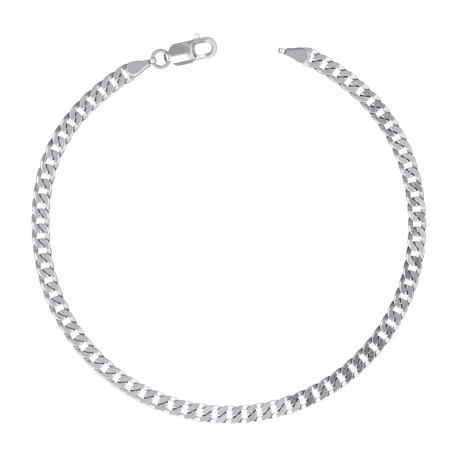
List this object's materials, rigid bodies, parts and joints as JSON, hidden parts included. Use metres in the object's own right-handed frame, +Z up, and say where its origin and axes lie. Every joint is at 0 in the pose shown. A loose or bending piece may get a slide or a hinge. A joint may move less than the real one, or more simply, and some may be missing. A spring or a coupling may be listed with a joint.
{
  "type": "link bracelet",
  "caption": "Flat curb-link chain bracelet, lying open, with a lobster clasp on a jump ring and an eye tag at its free end.",
  "frame": {"origin": "middle of the loop, on the surface that the bracelet lies on", "axes": "+Z up from the surface, +Y from the middle of the loop to its open side, +X to the free end's side"},
  "size_m": [0.0672, 0.0665, 0.0017],
  "materials": {
    "chain_metal": "polished facets",
    "tag_metal": "satin",
    "clasp_metal": "polished"
  },
  "bodies": {
    "bracelet": {"chain_first_half": "chain_metal", "chain_second_half": "chain_metal", "free_end_tag": "tag_metal", "clasp_end_tag": "tag_metal", "jump_ring": "clasp_metal", "clasp_body": "clasp_metal", "clasp_rivet": "clasp_metal"},
    "lever": {"clasp_lever": "clasp_metal"}
  },
  "joints": [
    {"name": "lever_hinge", "type": "hinge", "parent": "bracelet", "child": "lever", "pos_m": [-0.00631, 0.0287, 0.00085], "axis": [0, 0, 1], "range_deg": [0, 25], "stiffness_Nm_per_rad": 0.006, "springref_deg": -17.19}
  ]
}
